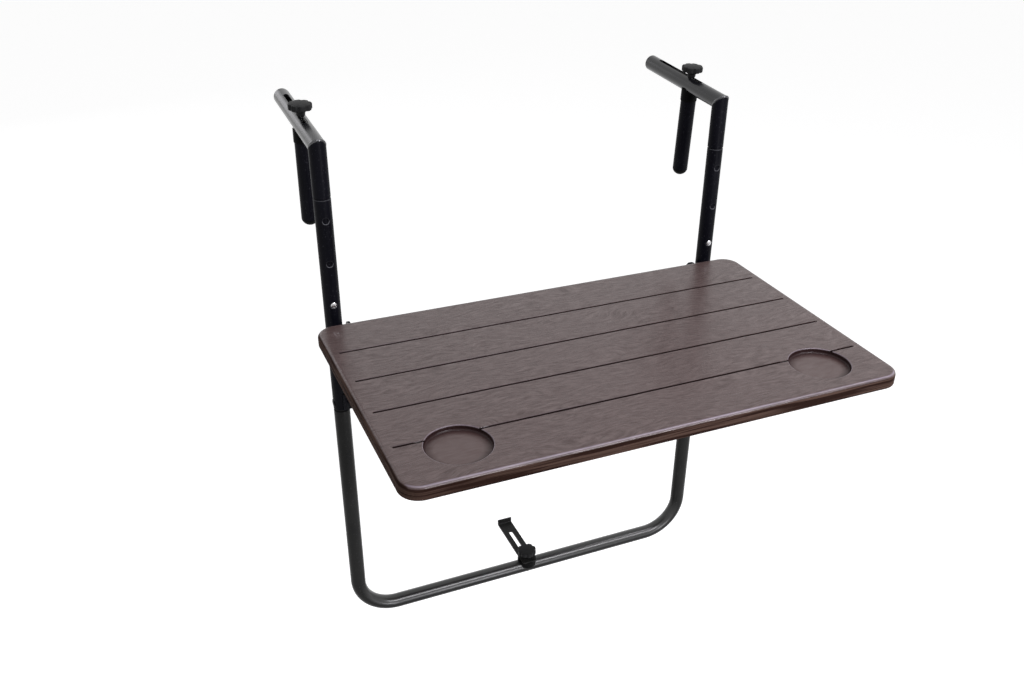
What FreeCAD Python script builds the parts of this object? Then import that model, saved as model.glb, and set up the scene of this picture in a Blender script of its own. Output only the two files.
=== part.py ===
import FreeCAD, Part
import math
import os

# Fold-down bar table that hangs on a railing by two hooked arms.
# Millimetres. X runs along the railing, +Y points from the user to the railing, +Z is up.
# The origin lies midway between the arms, where they rest on the front top edge of the rail:
# Z = 0 is the rail's top and Y = 0 the face that the hook legs bear against.

V = FreeCAD.Vector
AX, AY, AZ = V(1, 0, 0), V(0, 1, 0), V(0, 0, 1)

# ---- round tube shared by frame, hooks and pegs ----
tube_d = 22.0
tube_wall = 1.5

# ---- frame ----
upright_spacing = 562.8      # between the axes of the uprights
upright_top = -54.3
bottom_axis = -726.0         # height of the bottom bar's axis
bend_radius = 60.0           # of the bar's axis in the two lower corners
seam_below_rivet = 9.5       # the seam with the lower frame lies this far under the stays' rivets
seam_gap = 2.4
neck_len = 32.0              # swaged neck of the lower frame inside the upright
neck_shoulder = 4.0

# ---- height holes and telescoping post ----
hole_d = 8.0
hole_pitch = 57.0
hole_low = -194.6            # height of the lowest of the three holes
post_fit = 0.07              # radial running fit of the post in the upright
post_wall = 1.3
post_below_button = 27.0
post_in_leg = 34.0
leg_gap = 2.3                # between the upright's top and the leg's end
button_d = 7.4
button_proud = 0.9           # how far the button's crown stands out of the upright
spring_t = 0.8
spring_w = 7.0
spring_drop = 17.0

# ---- hooks ----
arm_tilt = 3.2               # the arms rise towards their free ends, degrees
arm_reach = 199.0            # leg axis to the arm's tip, along the arm
arm_cap_dome = 5.0
arm_cap_spigot = 14.0
slot_near = 52.0             # ends of the long slot, from the leg's axis
slot_far = 169.0
slot_w = 6.6

# ---- rail clamps ----
rail_gap = 58.0              # rail thickness held between leg and peg at rest
peg_length = 104.0
saddle_d = 23.6
saddle_below = 11.0          # saddle's lower rim under the arm
saddle_up = 6.0              # how high its horns reach beside the arm
saddle_fit = 0.3
spigot_len = 12.0
spigot_fit = 0.1
plug_dome = 9.0
bolt_d = 6.0
bolt_fit = 0.05
bolt_head_d = 10.0
bolt_head_t = 4.0

# ---- star knobs ----
knob_d = 30.0
knob_lobes = 8
knob_notch = 1.2             # depth of the flutes between the lobes
knob_crown = 1.4             # the crown's rim inside the lobes
knob_stem_d = 13.0
knob_stem_h = 8.0
knob_flank_h = 7.4
knob_dome_h = 1.0
knob_lift = 0.3              # running gap under the stem
knob_thread = 11.5           # how deep the bolt stands in the knob

# ---- tabletop ----
top_width = 625.0
top_depth = 379.0
top_thick = 17.0
top_height = -215.0          # upper face
top_setback = 23.4           # upright's axis to the top's back edge
top_corner_r = 24.0
top_edge_r = 5.5
top_under_r = 2.0
board_lines = (77.8, 151.5, 225.4, 299.5)   # grooves, from the back edge
groove_half = 297.8
groove_r = 1.5
groove_sink = 0.2
recess_d = 74.8
recess_depth = 6.5
recess_x = 233.0
recess_from_back = 319.4
recess_floor_r = 2.6
recess_rim_r = 1.2

# ---- fold joint and brackets under the top ----
pivot_drop = 13.5            # pivot axis below the top's underside
pivot_bolt_d = 8.0
pivot_fit = 0.05
pivot_head_d = 13.0
pivot_head_t = 3.2
nut_across = 13.0
nut_t = 6.5
web_t = 3.0
web_offset = 7.0             # upright's inner side to the web's near face
flange_w = 22.0
flange_t = 3.0
ear_r = 17.5
ear_forward = 4.0            # the ear's round middle lies ahead of the pivot and above it
ear_up = 2.0
web_margin = 6.0             # steel left round the curved slot
neck_below = 8.0             # web below the pivot line between ear and slot
bracket_tail = 14.0          # bracket beyond the slot's far end
spacer_d = 14.0
touch = 0.1                  # gap left between flat faces of turning pieces
screw_d = 4.0
screw_head_d = 8.0
screw_head_t = 2.4
screw_bite = 11.0
screw_fit = 0.05
screw_places = (40.0, 165.0, 290.0)         # from the pivot, along the bracket

# ---- stays ----
fold_angle = 90.0
stay_pivot = -345.0          # height of the stays' lower rivets
stay_reach = 145.0           # pivot line to the stay's upper pin when open
stay_w = 20.0
stay_t = 3.0
stay_gap = 0.3
pin_d = 8.0
pin_fit = 0.15
pin_head_d = 14.0
pin_head_t = 2.5
rivet_d = 7.0
rivet_head_d = 11.0
rivet_head_t = 1.2
lug_t = 2.0
lug_above = 17.0             # lug's upper edge over the rivet

# ---- rear clip on the bottom bar ----
clip_saddle_d = 30.0
clip_saddle_t = 3.0
clip_head_t = 2.2            # low head of the stud under the bar
clip_saddle_low = 4.0        # its lower rim stands this far over the bar's axis
strip_w = 24.0
strip_t = 2.5
strip_front = 14.0           # strip ahead of the stud
strip_back = 98.0            # stud to the outside of the lip
strip_lip = 10.5
strip_bend = 3.0
strip_slot_near = 4.0
strip_slot_far = 71.5

# ---- derived ----
tube_r = tube_d / 2
bore_r = tube_r - tube_wall
tube_y = -tube_r
half_span = upright_spacing / 2
tilt = math.radians(arm_tilt)
arm_axis_z = tube_r / math.cos(tilt) - tube_r * math.tan(tilt)
peg_place = tube_r + rail_gap + tube_r
post_r = bore_r - post_fit
leg_end = upright_top + leg_gap
top_back = tube_y - top_setback
under_z = top_height - top_thick
pivot_z = under_z - pivot_drop
inner_side = half_span - tube_r
web_outer = inner_side - web_offset
web_inner = web_outer - web_t
stay_outer = inner_side - lug_t - stay_gap
stay_inner = stay_outer - stay_t
stay_drop = pivot_z - stay_pivot
stay_len = math.hypot(stay_reach, stay_drop)
stay_rise = math.degrees(math.atan2(stay_drop, stay_reach))
stay_ratio = (stay_rise + 90.0) / fold_angle
seam_height = stay_pivot - seam_below_rivet
neck_r = bore_r - spigot_fit
bar_top = bottom_axis + tube_r
strip_z = bar_top + clip_saddle_t + touch


def cyl(r, h, base, axis):
    """Cylinder of radius r and height h from base along axis."""
    return Part.makeCylinder(r, h, base, axis)


def ring(r_out, r_in, h, base, axis):
    """Straight tube length."""
    return cyl(r_out, h, base, axis).cut(cyl(r_in, h, base, axis))


def box(x0, x1, y0, y1, z0, z1):
    """Box between two corners."""
    return Part.makeBox(x1 - x0, y1 - y0, z1 - z0, V(x0, y0, z0))


def prism(points, thickness_axis):
    """Straight prism over a closed polygon."""
    wire = Part.makePolygon(points + [points[0]])
    return Part.Face(wire).extrude(thickness_axis)


def near(shape, test, radius):
    """Fillet of the edges whose middle passes the test."""
    edges = [e for e in shape.Edges if test(e.CenterOfMass)]
    return shape.makeFillet(radius, edges) if edges else shape


def dome(r, h, base, axis, bands=1):
    """Low round head of base radius r and height h: cone bands up a spherical cap, then a flat crown."""
    rad = (r * r + h * h) / (2 * h)
    rim = math.asin(r / rad)
    turns = [rim * (1 - i / (bands + 1.0)) for i in range(bands + 1)]
    radii = [rad * math.sin(a) for a in turns]
    highs = [rad * math.cos(a) - rad + h for a in turns[:-1]] + [h]
    cones = [Part.makeCone(radii[i], radii[i + 1], highs[i + 1] - highs[i], base + axis * highs[i], axis)
             for i in range(bands)]
    return cones[0].fuse(cones[1:]) if bands > 1 else cones[0]


def mirror(shape):
    """Copy on the other side of the plane X = 0."""
    return shape.mirror(V(0, 0, 0), AX)


def in_hook(shape):
    """From the arm's own axes, arm along +Y from the leg's axis, to the right-hand hook."""
    moved = shape.copy()
    turn = FreeCAD.Rotation(AX, arm_tilt)
    moved.Placement = FreeCAD.Placement(V(half_span, tube_y, arm_axis_z), turn).multiply(moved.Placement)
    return moved


# ---------------------------------------------------------------- frame

def upright():
    """Right upright: open tube with three height holes in its front wall."""
    low = seam_height + seam_gap / 2
    body = ring(tube_r, bore_r, upright_top - low, V(half_span, tube_y, low), AZ)
    for i in range(3):
        z = hole_low + i * hole_pitch
        body = body.cut(cyl(hole_d / 2, tube_r, V(half_span, tube_y - tube_r - 1, z), AY))
    body = body.cut(cyl(pivot_bolt_d / 2 + pivot_fit, 2 * tube_d, V(half_span - tube_d, tube_y, pivot_z), AX))
    return body.cut(cyl(rivet_d / 2 + pivot_fit, 2 * tube_d, V(half_span - tube_d, tube_y, stay_pivot), AX))


def lower_frame():
    """One tube bent to a U, its two ends swaged to necks that stand in the uprights."""
    top = seam_height - seam_gap / 2
    knee = bottom_axis + bend_radius
    flat = half_span - bend_radius
    mid = bend_radius * math.sin(math.radians(45))
    arc_z = bottom_axis + bend_radius - mid
    right = Part.Arc(V(half_span, tube_y, knee), V(flat + mid, tube_y, arc_z), V(flat, tube_y, bottom_axis))
    left = Part.Arc(V(-flat, tube_y, bottom_axis), V(-flat - mid, tube_y, arc_z), V(-half_span, tube_y, knee))
    path = Part.Wire([
        Part.makeLine(V(half_span, tube_y, top), V(half_span, tube_y, knee)),
        right.toShape(),
        Part.makeLine(V(flat, tube_y, bottom_axis), V(-flat, tube_y, bottom_axis)),
        left.toShape(),
        Part.makeLine(V(-half_span, tube_y, knee), V(-half_span, tube_y, top))])

    def run(r):
        """Solid round bar along the path."""
        section = Part.Wire(Part.makeCircle(r, V(half_span, tube_y, top), AZ))
        return path.makePipeShell([section], True, False)

    body = run(tube_r).cut(run(bore_r))
    hole = rivet_d / 2 + pivot_fit
    neck_bore = neck_r - tube_wall
    for side in (-1, 1):
        seam = V(side * half_span, tube_y, top)
        shoulder = ring(tube_r, neck_bore, neck_shoulder, seam - AZ * neck_shoulder, AZ)
        neck = ring(neck_r, neck_bore, neck_len, seam, AZ)
        body = body.fuse([shoulder, neck]).removeSplitter()
    body = body.cut(cyl(hole, 2 * (half_span + tube_d), V(-half_span - tube_d, tube_y, stay_pivot), AX))
    stud = bolt_d / 2 + bolt_fit
    return body.cut(cyl(stud, 2 * tube_d, V(0, tube_y, bottom_axis - tube_d), AZ))


def stay_lug():
    """Half collar on the upright's inner side with a flat pad for the stay's rivet."""
    low = seam_height + seam_gap / 2
    high = stay_pivot + lug_above
    shell = cyl(tube_r + lug_t, high - low, V(half_span, tube_y, low), AZ)
    pad = box(inner_side - lug_t, half_span, tube_y - stay_w / 2, tube_y + stay_w / 2, low, high)
    body = shell.fuse(pad).common(
        box(inner_side - lug_t, half_span, tube_y - tube_d, tube_y + tube_d, low, high))
    body = body.cut(cyl(tube_r, high - low, V(half_span, tube_y, low), AZ))
    body = body.cut(cyl(rivet_d / 2 + pivot_fit, tube_d, V(inner_side - tube_r, tube_y, stay_pivot), AX))
    return body.removeSplitter()


def stay_rivet():
    """Rivet through upright, neck, lug and stay, low heads at both ends."""
    inner = stay_inner - touch
    outer = half_span + tube_r
    shank = cyl(rivet_d / 2, outer - inner, V(inner, tube_y, stay_pivot), AX)
    near_head = cyl(rivet_head_d / 2, rivet_head_t, V(inner - rivet_head_t, tube_y, stay_pivot), AX)
    far_head = dome(rivet_head_d / 2, rivet_head_t, V(outer, tube_y, stay_pivot), AX)
    neck = cyl(rivet_d / 2, rivet_head_t / 2, V(outer, tube_y, stay_pivot), AX)
    return shank.fuse([near_head, far_head, neck]).removeSplitter()


def fold_bolt():
    """Pivot bolt through the upright: domed head outside, shank inwards through spacer and ear."""
    outer = half_span + tube_r
    tip = web_inner - touch - nut_t - 1.5
    shank = cyl(pivot_bolt_d / 2, outer - tip, V(tip, tube_y, pivot_z), AX)
    head = dome(pivot_head_d / 2, pivot_head_t, V(outer, tube_y, pivot_z), AX)
    return shank.fuse(head).removeSplitter()


def fold_spacer():
    """Round spacer that holds the bracket's ear off the upright."""
    start = web_outer + touch
    base = V(start, tube_y, pivot_z)
    body = ring(spacer_d / 2, pivot_bolt_d / 2 + pivot_fit, inner_side - start + 1.6, base, AX)
    return body.cut(cyl(tube_r + 0.02, 4 * spacer_d, V(half_span, tube_y, pivot_z - 2 * spacer_d), AZ))


def fold_nut():
    """Hexagon nut on the bolt's inner end."""
    start = web_inner - touch - nut_t
    across = nut_across / math.sqrt(3)
    pts = []
    for i in range(6):
        a = math.radians(60 * i + 30)
        pts.append(V(start, tube_y + across * math.cos(a), pivot_z + across * math.sin(a)))
    body = prism(pts, V(nut_t, 0, 0))
    return body.cut(cyl(pivot_bolt_d / 2 + 0.02, nut_t, V(start, tube_y, pivot_z), AX))


# ---------------------------------------------------------------- tabletop

def cup_cutter():
    """Turned form of a cup recess: flat floor, eased foot, straight wall, bevelled rim."""
    r, foot, rim = recess_d / 2, recess_floor_r, recess_rim_r
    ease = foot * (1 - math.sin(math.radians(45)))
    profile = [
        (0, -recess_depth), (r - foot, -recess_depth), (r - ease, -recess_depth + ease),
        (r, -recess_depth + foot), (r, -rim), (r + rim, 0), (r + rim, 1), (0, 1)]
    points = [V(x, 0, z) for x, z in profile]
    return Part.Face(Part.makePolygon(points + [points[0]])).revolve(V(0, 0, 0), AZ, 360)


def groove_cutter(back):
    """Round-bottomed channel of one board line, in flat strips, closed at both ends."""
    centre = V(-groove_half - groove_r, top_back - back, top_height - groove_sink)
    points = [centre + V(0, groove_r, 1)]
    for i in range(6):
        a = math.radians(-36.0 * i)
        points.append(centre + V(0, groove_r * math.cos(a), groove_r * math.sin(a)))
    points.append(centre + V(0, -groove_r, 1))
    return prism(points, AX * (2 * groove_half + 2 * groove_r))


def top_outline(inset, z):
    """Outline of the top with its round corners, drawn in by inset, at height z."""
    x, r = top_width / 2 - inset, top_corner_r - inset
    back, front = top_back - inset, top_back - top_depth + inset
    c = r * (1 - math.sin(math.radians(45)))
    edges = []
    for sx, sy, y in ((1, 1, back), (-1, 1, back), (-1, -1, front), (1, -1, front)):
        ends = [V(sx * x, y - sy * r, z), V(sx * (x - r), y, z)]
        if sx * sy < 0:
            ends.reverse()
        if edges:
            edges.append(Part.makeLine(edges[-1].Vertexes[-1].Point, ends[0]))
        edges.append(Part.Arc(ends[0], V(sx * (x - c), y - sy * c, z), ends[1]).toShape())
    edges.append(Part.makeLine(edges[-1].Vertexes[-1].Point, edges[0].Vertexes[0].Point))
    return Part.Wire(edges)


def tabletop():
    """Moulded top: rounded corners and edges, four grooves, two cup recesses, blind screw holes."""
    levels = [(top_under_r, under_z), (0, under_z + top_under_r)]
    for i in range(4):
        a = math.radians(30.0 * i)
        levels.append((top_edge_r * (1 - math.cos(a)), top_height - top_edge_r * (1 - math.sin(a))))
    body = Part.makeLoft([top_outline(inset, z) for inset, z in levels], True, True)
    cuts = [groove_cutter(back) for back in board_lines]
    for side in (-1, 1):
        cup = cup_cutter()
        cup.translate(V(side * recess_x, top_back - recess_from_back, top_height))
        cuts.append(cup)
    body = body.cut(cuts)
    holes = [cyl(screw_d / 2 + screw_fit, screw_bite, V(x, y, under_z), AZ) for x, y in screw_points()]
    return body.cut(holes)


def screw_points():
    """Plan positions of all bracket screws."""
    x = web_inner - flange_w / 2
    return [(side * x, tube_y - s) for side in (-1, 1) for s in screw_places]


def pin_path(steps=12):
    """Places of the stay's pin as seen from the top, (forward, up) from the pivot, while it folds."""
    out = []
    for i in range(steps + 1):
        fold = math.radians(fold_angle * i / steps)
        stay = math.radians(stay_rise) - stay_ratio * fold
        f = stay_len * math.cos(stay)
        z = -stay_drop + stay_len * math.sin(stay)
        out.append((f * math.cos(fold) - z * math.sin(fold), f * math.sin(fold) + z * math.cos(fold)))
    return out


def offset_line(path, by):
    """Points beside the path, by to its left when walking forward."""
    out = []
    for i, (s, d) in enumerate(path):
        s0, d0 = path[max(i - 1, 0)]
        s1, d1 = path[min(i + 1, len(path) - 1)]
        length = math.hypot(s1 - s0, d1 - d0)
        out.append((s - by * (d1 - d0) / length, d + by * (s1 - s0) / length))
    return out


def at_web(s, d):
    """A bracket point, forward s and up d from the pivot, on the web's inner face."""
    return V(web_inner, tube_y - s, pivot_z + d)


def arcs(points):
    """Chain of arcs through bracket points, three at a time."""
    places = [at_web(s, d) for s, d in points]
    return [Part.Arc(*places[i:i + 3]).toShape() for i in range(0, len(places) - 2, 2)]


def slot_cutter():
    """Curved slot that the stay's pin runs in, with round ends."""
    path = pin_path()
    r = pin_d / 2 + pin_fit
    up, down = offset_line(path, r), offset_line(path, -r)
    ends = []
    for i, j in ((0, 1), (-1, -2)):
        s, d = path[i]
        away = math.hypot(s - path[j][0], d - path[j][1])
        tip = (s + r * (s - path[j][0]) / away, d + r * (d - path[j][1]) / away)
        ends.append(Part.Arc(at_web(*up[i]), at_web(*tip), at_web(*down[i])).toShape())
    wire = Part.Wire(Part.__sortEdges__(arcs(up) + arcs(down) + ends))
    solid = Part.Face(wire).extrude(V(3 * web_t, 0, 0))
    solid.translate(V(-web_t, 0, 0))
    return solid


def bracket():
    """Folded steel bracket: flange under the top, web with pivot ear and curved slot."""
    path = pin_path()
    r = pin_d / 2 + pin_fit + web_margin
    low = offset_line(path, -r)
    first, last = low[0], low[-1]
    s_end = path[-1][0] + pin_d / 2 + bracket_tail
    s_in = path[0][0] - r - neck_below
    edges = [
        Part.makeLine(at_web(s_in, pivot_drop), at_web(s_in, -neck_below)),
        Part.makeLine(at_web(s_in, -neck_below), at_web(*first)),
        *arcs(low),
        Part.makeLine(at_web(*last), at_web(s_end, last[1])),
        Part.makeLine(at_web(s_end, last[1]), at_web(s_end, pivot_drop)),
        Part.makeLine(at_web(s_end, pivot_drop), at_web(s_in, pivot_drop))]
    belly = Part.Face(Part.Wire(edges)).extrude(V(web_t, 0, 0))
    ear = cyl(ear_r, web_t, at_web(ear_forward, ear_up), AX)
    neck = box(web_inner, web_outer, tube_y - s_in - 1, tube_y, pivot_z - neck_below, under_z)
    flange = box(web_inner - flange_w, web_outer, tube_y - s_end, top_back - 3, under_z - flange_t, under_z)
    flange = near(flange, lambda c: abs(c.x - web_inner + flange_w) < 0.01
                  and abs(c.z - under_z + flange_t / 2) < 0.01, 6.0)
    body = belly.fuse([ear, neck, flange]).removeSplitter()
    body = body.cut(slot_cutter())
    body = body.cut(cyl(pivot_bolt_d / 2 + pivot_fit, 3 * web_t, at_web(0, 0) - AX * web_t, AX))
    for x, y in screw_points():
        if x > 0:
            body = body.cut(cyl(screw_d / 2 + 0.2, 3 * flange_t, V(x, y, under_z - 2 * flange_t), AZ))
    return body


def bracket_screws():
    """Pan-head screws from below through the flange into the top."""
    screws = []
    for x, y in screw_points():
        if x > 0:
            seat = under_z - flange_t
            shank = cyl(screw_d / 2, flange_t + screw_bite - 0.5, V(x, y, seat), AZ)
            head = dome(screw_head_d / 2, screw_head_t, V(x, y, seat), -AZ)
            screws.append(shank.fuse(head).removeSplitter())
    return Part.makeCompound(screws)


# ---------------------------------------------------------------- stays

def stay_points():
    """Lower and upper pivot of the stay, on its inner face."""
    low = V(stay_inner, tube_y, stay_pivot)
    return low, V(stay_inner, tube_y - stay_reach, pivot_z)


def stay():
    """Flat bar with round ends and two holes."""
    low, high = stay_points()
    along = (high - low).normalize()
    side = AX.cross(along) * (stay_w / 2)
    bar = prism([low - side, low + side, high + side, high - side], V(stay_t, 0, 0))
    body = bar.fuse([cyl(stay_w / 2, stay_t, low, AX), cyl(stay_w / 2, stay_t, high, AX)]).removeSplitter()
    body = body.cut(cyl(rivet_d / 2 + pivot_fit, stay_t, low, AX))
    return body.cut(cyl(pin_d / 2, stay_t, high, AX))


def stay_pin():
    """Pin fixed in the stay, through the curved slot, with a wide inner head."""
    high = stay_points()[1]
    inner = web_inner - touch
    shank = cyl(pin_d / 2, stay_outer - inner, V(inner, high.y, high.z), AX)
    head = cyl(pin_head_d / 2, pin_head_t, V(inner - pin_head_t, high.y, high.z), AX)
    return shank.fuse(head).removeSplitter()


# ---------------------------------------------------------------- hooks

def mitre_side(sign):
    """Block that fills one side of the mitre plane between leg and arm, in the arm's axes."""
    size = 6 * tube_d
    block = Part.makeBox(size, size, size, V(-size / 2, -size / 2, 0 if sign > 0 else -size))
    block.rotate(V(0, 0, 0), AX, -(45.0 + arm_tilt / 2))
    return block


def hook_leg():
    """Upright part of the hook, mitred at the top."""
    high = arm_axis_z + 2 * tube_r
    body = ring(tube_r, bore_r, high - leg_end, V(half_span, tube_y, leg_end), AZ)
    return body.cut(in_hook(mitre_side(1)))


def hook_arm():
    """Slotted arm, mitred at the leg."""
    length = arm_reach - arm_cap_dome + 2 * tube_r
    start = V(0, -2 * tube_r, 0)
    body = ring(tube_r, bore_r, length, start, AY).cut(mitre_side(-1))
    r = slot_w / 2
    near_end, far_end = V(0, slot_near + r, -tube_d), V(0, slot_far - r, -tube_d)
    cutter = box(-r, r, slot_near + r, slot_far - r, -tube_d, tube_d)
    cutter = cutter.fuse([cyl(r, 2 * tube_d, near_end, AZ), cyl(r, 2 * tube_d, far_end, AZ)])
    return in_hook(body.cut(cutter.removeSplitter()))


def arm_cap():
    """Domed plug in the arm's free end."""
    face = arm_reach - arm_cap_dome
    head = dome(tube_r, arm_cap_dome, V(0, face, 0), AY, bands=2)
    spigot = cyl(neck_r, arm_cap_spigot, V(0, face - arm_cap_spigot, 0), AY)
    return in_hook(head.fuse(spigot).removeSplitter())


def inner_post():
    """Thin tube fixed in the leg that telescopes in the upright, with a hole for the button."""
    low = hole_low - post_below_button
    high = leg_end + post_in_leg
    body = ring(post_r, post_r - post_wall, high - low, V(half_span, tube_y, low), AZ)
    return body.cut(cyl(hole_d / 2, tube_r, V(half_span, tube_y - tube_r, hole_low), AY))


def snap_button():
    """Sprung button: round head through both walls on a bent leaf inside the post."""
    wall = post_r - post_wall
    front = tube_y - wall + 0.2
    shank = cyl(button_d / 2, front - tube_y + tube_r, V(half_span, tube_y - tube_r, hole_low), AY)
    crown = dome(button_d / 2, button_proud, V(half_span, tube_y - tube_r, hole_low), -AY)
    reach = wall - 0.6
    x0, x1 = half_span - spring_w / 2, half_span + spring_w / 2
    edge = math.sqrt(wall * wall - (spring_w / 2) ** 2) - 0.15
    arm_f = box(x0, x1, tube_y - edge, tube_y - edge + spring_t, hole_low - spring_drop, hole_low + 7)
    arm_b = box(x0, x1, tube_y + edge - spring_t, tube_y + edge, hole_low - spring_drop, hole_low + 2)
    base = V(x0, tube_y, hole_low - spring_drop)
    bend = ring(edge, edge - spring_t, spring_w, base, AX)
    bend = bend.common(box(x0, x1, tube_y - reach - 1, tube_y + reach + 1, base.z - 20, base.z))
    stem = cyl(button_d / 2 - 1, 2.0, V(half_span, tube_y - edge - 0.8, hole_low), AY)
    return shank.fuse([crown, arm_f, arm_b, bend, stem]).removeSplitter()


# ---------------------------------------------------------------- rail clamps

def saddle_cap():
    """Cap on the peg, hollowed to the arm's underside, with a spigot that seats the bolt's head."""
    low = -tube_r - saddle_below
    body = cyl(saddle_d / 2, saddle_below + saddle_up, V(0, peg_place, low), AZ)
    body = body.cut(cyl(tube_r + saddle_fit, 3 * saddle_d, V(0, peg_place - 1.5 * saddle_d, 0), AY))
    spigot = cyl(neck_r, spigot_len, V(0, peg_place, low - spigot_len), AZ)
    body = body.fuse(spigot).removeSplitter()
    return in_hook(body.cut(cyl(bolt_d / 2 + bolt_fit, 4 * tube_d, V(0, peg_place, -2 * tube_d), AZ)))


def peg():
    """Vertical tube that grips the rail against the leg."""
    high = -tube_r - saddle_below
    return in_hook(ring(tube_r, bore_r, peg_length, V(0, peg_place, high - peg_length), AZ))


def peg_plug():
    """Round-nosed plug in the peg's lower end."""
    face = -tube_r - saddle_below - peg_length
    nose = dome(tube_r, plug_dome, V(0, peg_place, face), -AZ, bands=3)
    spigot = cyl(neck_r, spigot_len, V(0, peg_place, face), AZ)
    return in_hook(nose.fuse(spigot).removeSplitter())


def clamp_bolt():
    """Bolt from its seat under the saddle cap's spigot up through the slot into the knob."""
    seat = -tube_r - saddle_below - spigot_len
    high = tube_r + knob_lift + knob_thread
    shank = cyl(bolt_d / 2, high - seat, V(0, peg_place, seat), AZ)
    head = cyl(bolt_head_d / 2, bolt_head_t, V(0, peg_place, seat - bolt_head_t), AZ)
    return in_hook(shank.fuse(head).removeSplitter())


def knob(base):
    """Star knob standing on base: stem, fluted head, raised crown, blind bore from below."""
    foot = base + AZ * knob_stem_h
    r, pitch = knob_d / 2, 2 * math.pi / knob_lobes
    outline = []
    for i in range(knob_lobes):
        for share, radius in ((-0.28, r), (0, r), (0.28, r), (0.41, r - knob_notch), (0.59, r - knob_notch)):
            a = pitch * (i + share)
            outline.append(foot + V(radius * math.cos(a), radius * math.sin(a), 0))
    head = prism(outline, AZ * knob_flank_h)
    crown = dome(r - knob_crown, knob_dome_h, foot + AZ * knob_flank_h, AZ)
    stem = cyl(knob_stem_d / 2, knob_stem_h, base, AZ)
    body = head.fuse([crown, stem]).removeSplitter()
    return body.cut(cyl(bolt_d / 2 + bolt_fit, knob_thread + 0.5, base, AZ))


def clamp_knob():
    """Knob over the arm."""
    return in_hook(knob(V(0, peg_place, tube_r + knob_lift)))


# ---------------------------------------------------------------- rear clip

def clip_saddle():
    """Round cap hollowed to the bottom bar's upper half, with a flat top that the strip lies on."""
    low = bottom_axis + clip_saddle_low
    body = cyl(clip_saddle_d / 2, bar_top + clip_saddle_t - low, V(0, tube_y, low), AZ)
    body = body.cut(cyl(tube_r, 2 * clip_saddle_d, V(-clip_saddle_d, tube_y, bottom_axis), AX))
    return body.cut(cyl(bolt_d / 2 + bolt_fit, 2 * tube_d, V(0, tube_y, bottom_axis), AZ))


def clip_bolt():
    """Stud from under the bottom bar up into the clip's knob."""
    low = bottom_axis - tube_r
    high = strip_z + strip_t + knob_lift + knob_thread
    shank = cyl(bolt_d / 2, high - low, V(0, tube_y, low), AZ)
    return shank.fuse(dome(bolt_head_d / 2, clip_head_t, V(0, tube_y, low), -AZ)).removeSplitter()


def clip_strip():
    """Flat slotted strip with an upturned lip at its far end."""
    half = strip_w / 2
    back = tube_y + strip_back
    flat = box(-half, half, tube_y - strip_front, back, strip_z, strip_z + strip_t)
    lip = box(-half, half, back - strip_t, back, strip_z, strip_z + strip_lip)
    body = flat.fuse(lip).removeSplitter()
    body = near(body, lambda c: abs(c.y - back + strip_t) < 0.01 and abs(c.z - strip_z - strip_t) < 0.01,
                strip_bend - 1)
    body = near(body, lambda c: abs(c.y - back) < 0.01 and abs(c.z - strip_z) < 0.01, strip_bend)
    body = near(body, lambda c: abs(abs(c.x) - half) < 0.01 and abs(c.y - tube_y + strip_front) < 0.01, 4.0)
    r = slot_w / 2
    y0, y1 = tube_y - strip_slot_near + r, tube_y + strip_slot_far - r
    cutter = box(-r, r, y0, y1, strip_z - 1, strip_z + strip_t + 1)
    ends = [cyl(r, strip_t + 2, V(0, y, strip_z - 1), AZ) for y in (y0, y1)]
    return body.cut(cutter.fuse(ends).removeSplitter())


def clip_knob():
    """Knob over the strip."""
    return knob(V(0, tube_y, strip_z + strip_t + knob_lift))


def shared(make):
    """A fastener's pieces on both sides, for one file."""
    right = make()
    return Part.makeCompound(right.Solids + mirror(right).Solids)


PAIRS = {
    "upright": upright, "stay_lug": stay_lug, "bracket": bracket, "stay": stay, "stay_pin": stay_pin,
    "hook_leg": hook_leg, "hook_arm": hook_arm, "arm_cap": arm_cap, "inner_post": inner_post,
    "snap_button": snap_button, "saddle_cap": saddle_cap, "peg": peg, "peg_plug": peg_plug,
    "clamp_bolt": clamp_bolt, "clamp_knob": clamp_knob}
FASTENERS = {
    "stay_rivets": stay_rivet, "fold_bolts": fold_bolt, "fold_spacers": fold_spacer,
    "fold_nuts": fold_nut, "bracket_screws": bracket_screws}
SINGLES = {
    "lower_frame": lower_frame, "tabletop": tabletop, "clip_saddle": clip_saddle,
    "clip_bolt": clip_bolt, "clip_strip": clip_strip, "clip_knob": clip_knob}


def main():
    """Build every piece and write one file each."""
    os.makedirs("parts", exist_ok=True)
    for name, make in SINGLES.items():
        make().exportStep("parts/%s.step" % name)
    for name, make in FASTENERS.items():
        shared(make).exportStep("parts/%s.step" % name)
    for name, make in PAIRS.items():
        shape = make()
        shape.exportStep("parts/%s_right.step" % name)
        mirror(shape).exportStep("parts/%s_left.step" % name)


main()
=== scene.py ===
import math

import bmesh
import bpy
import numpy as np
from mathutils import Matrix


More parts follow.
